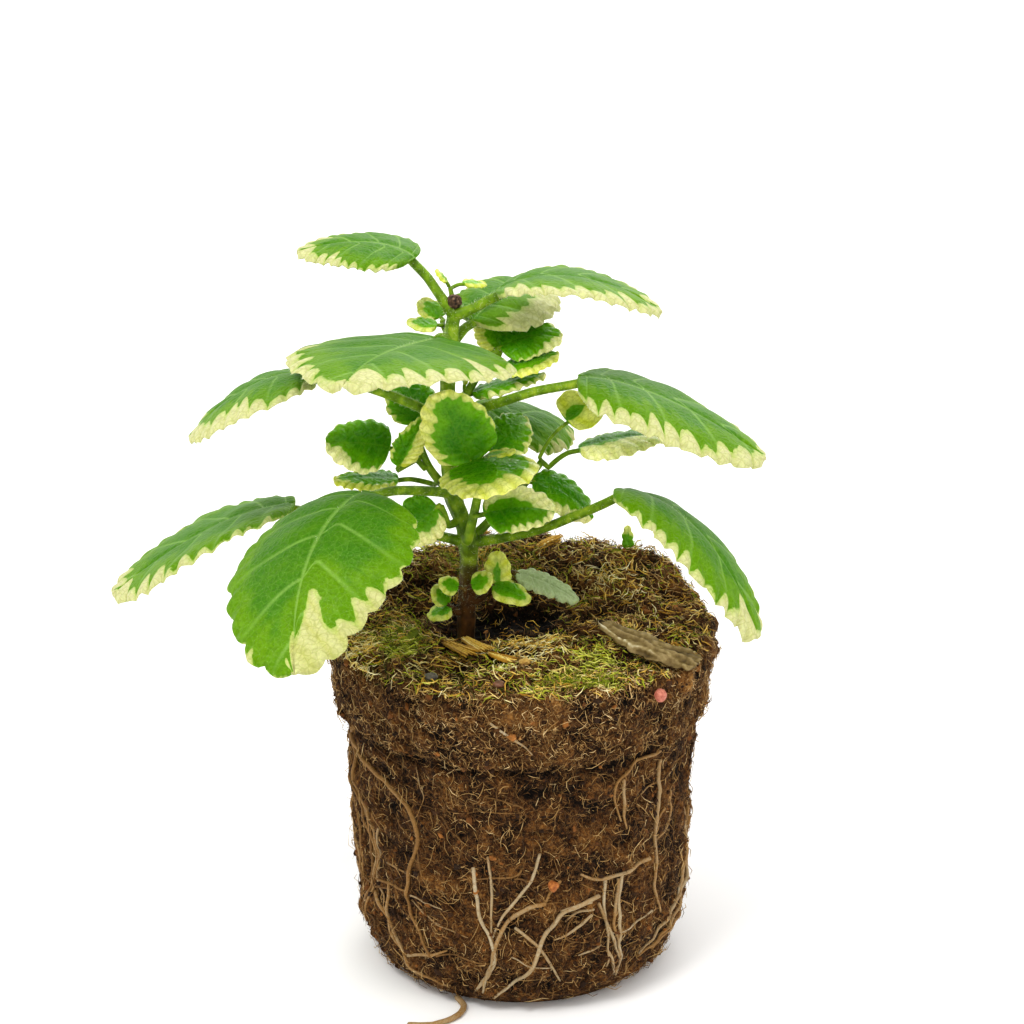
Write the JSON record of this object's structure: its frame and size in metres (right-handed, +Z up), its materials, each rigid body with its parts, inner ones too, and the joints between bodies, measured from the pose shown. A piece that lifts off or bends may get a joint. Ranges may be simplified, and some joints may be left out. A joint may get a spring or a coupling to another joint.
{
  "type": "candle plant",
  "caption": "Young variegated candle plant with a bare root ball: square stem, cream-edged toothed leaves in crossed pairs, side shoots, soil crumbs and roots.",
  "frame": {"origin": "centre of the root ball's flat underside", "axes": "+Z up along the stem, -Y the plant's front, +X to the right as seen from the front"},
  "size_m": [0.1426, 0.1052, 0.1635],
  "materials": {
    "leaf": "satin",
    "young_leaf": "satin",
    "old_leaf": "matte",
    "stem": "matte",
    "scar": "matte",
    "soil": "matte",
    "moss": "matte",
    "root": "matte",
    "straw": "matte",
    "dead_leaf": "matte",
    "stone": "matte",
    "prill": "matte",
    "granule": "satin"
  },
  "bodies": {
    "root": {"cut_scar": "scar", "dead_leaf": "dead_leaf", "granule": "granule", "leaf_back": "leaf", "leaf_back_right": "leaf", "leaf_base_left": "leaf", "leaf_base_right": "leaf", "leaf_front": "leaf", "leaf_front_left": "leaf", "leaf_old": "old_leaf", "leaf_side_left": "leaf", "leaf_side_right": "leaf", "leaf_top_left": "leaf", "leaf_top_right": "leaf", "lump_tan": "stone", "main_stem": "stem", "moss_back": "moss", "moss_front": "moss", "moss_left": "moss", "pebble_brown": "stone", "pebble_grey": "stone", "prill": "prill", "root_ball": "soil", "root_collar": "root", "root_low_right": "root", "root_tail": "root", "root_upper_right": "root", "roots_back_1": "root", "roots_back_2": "root", "roots_back_3": "root", "roots_back_4": "root", "roots_back_5": "root", "roots_back_6": "root", "roots_centre": "root", "roots_front": "root", "roots_left": "root", "roots_right": "root", "roots_right_side": "root", "seedling": "young_leaf", "shoot_foot_front": "young_leaf", "shoot_foot_left": "young_leaf", "shoot_foot_right": "young_leaf", "shoot_front": "young_leaf", "shoot_left": "young_leaf", "shoot_low_left": "young_leaf", "shoot_right": "young_leaf", "shoot_upper_left": "young_leaf", "shoot_upper_right": "young_leaf", "straw_chip_1": "straw", "straw_chip_2": "straw", "straw_chip_3": "straw", "straw_stick": "straw", "tip_leaves": "young_leaf"}
  },
  "joints": []
}
